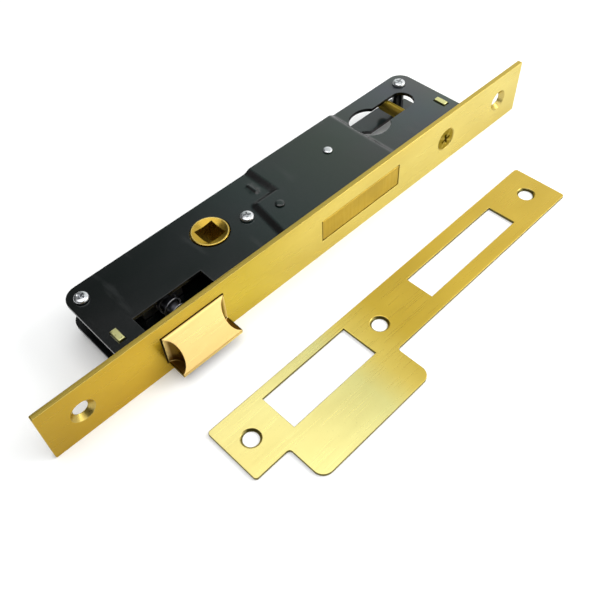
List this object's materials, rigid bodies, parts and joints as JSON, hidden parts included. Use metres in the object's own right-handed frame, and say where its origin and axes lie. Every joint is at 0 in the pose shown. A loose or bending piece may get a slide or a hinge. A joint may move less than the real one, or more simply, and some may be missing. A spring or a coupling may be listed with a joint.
{
  "type": "mortise lock",
  "caption": "Narrow mortise lock for a euro cylinder, with gilt forend, black two-plate case, bevelled latch, square follower, flush deadbolt and a lipped strike plate beside it.",
  "frame": {"origin": "on the forend's outer face, on its centre line, level with the follower's axis", "axes": "+X out of the forend, +Y along it towards the cylinder hole, +Z square to the cover, away from the base plate"},
  "size_m": [0.1041, 0.24, 0.024],
  "materials": {
    "gilt": "brass plated, brushed",
    "brass": "cast and sawn, unpolished",
    "black_lacquer": "semi-gloss stove enamel on pressed sheet steel",
    "yellow_zinc": "yellow passivated zinc",
    "bright_zinc": "bright zinc",
    "steel": "plain stamped steel, oiled",
    "spring_steel": "drawn spring wire"
  },
  "bodies": {
    "case": {"forend": "gilt", "lower_lug": "yellow_zinc", "upper_lug": "yellow_zinc", "cover": "black_lacquer", "base_plate": "black_lacquer", "spacer_post_1": "black_lacquer", "spacer_post_2": "black_lacquer", "spacer_post_3": "black_lacquer", "cover_screw_1": "bright_zinc", "cover_screw_2": "bright_zinc", "cover_screw_3": "bright_zinc", "guide_pin": "bright_zinc", "case_rivet": "black_lacquer", "latch_guide": "steel", "latch_guide_rivet_1": "steel", "latch_guide_rivet_2": "steel", "latch_spring": "spring_steel", "follower_spring": "spring_steel", "tumbler_spring": "spring_steel"},
    "follower": {"follower": "brass"},
    "latch": {"latch_head": "gilt", "latch_rod": "steel", "latch_pin": "steel", "latch_yoke": "steel"},
    "deadbolt": {"deadbolt_head": "brass", "deadbolt_tail": "steel", "deadbolt_rivet_1": "steel", "deadbolt_rivet_2": "steel", "stump_pin": "steel"},
    "tumbler": {"tumbler": "steel"},
    "cylinder_screw": {"cylinder_screw": "brass"},
    "strike": {"strike_plate": "gilt"}
  },
  "joints": [
    {"name": "follower_turn", "type": "hinge", "parent": "case", "child": "follower", "pos_m": [-0.025, 0, 0], "axis": [0, 0, -1], "range_deg": [0, 35], "stiffness_Nm_per_rad": 0.003, "springref_deg": -28.65, "deforming": ["follower_spring"]},
    {"name": "latch_slide", "type": "slide", "parent": "case", "child": "latch", "axis": [-1, 0, 0], "range_m": [0, 0.0084], "stiffness_N_per_m": 300, "springref_m": -0.008, "deforming": ["latch_spring"]},
    {"name": "deadbolt_throw", "type": "slide", "parent": "case", "child": "deadbolt", "axis": [1, 0, 0], "range_m": [0, 0.01]},
    {"name": "tumbler_lift", "type": "slide", "parent": "case", "child": "tumbler", "axis": [0, -1, 0], "range_m": [0, 0.0025], "stiffness_N_per_m": 150, "springref_m": -0.004, "deforming": ["tumbler_spring"]},
    {"name": "cylinder_screw_draw", "type": "slide", "parent": "case", "child": "cylinder_screw", "axis": [1, 0, 0], "range_m": [0, 0.037]},
    {"name": "strike_lift", "type": "slide", "parent": "case", "child": "strike", "axis": [0, 0, 1], "range_m": [0, 0.06]}
  ],
  "couplings": [
    {"joint": "follower_turn", "follows": "latch_slide", "rad_per_m": 72.7}
  ]
}
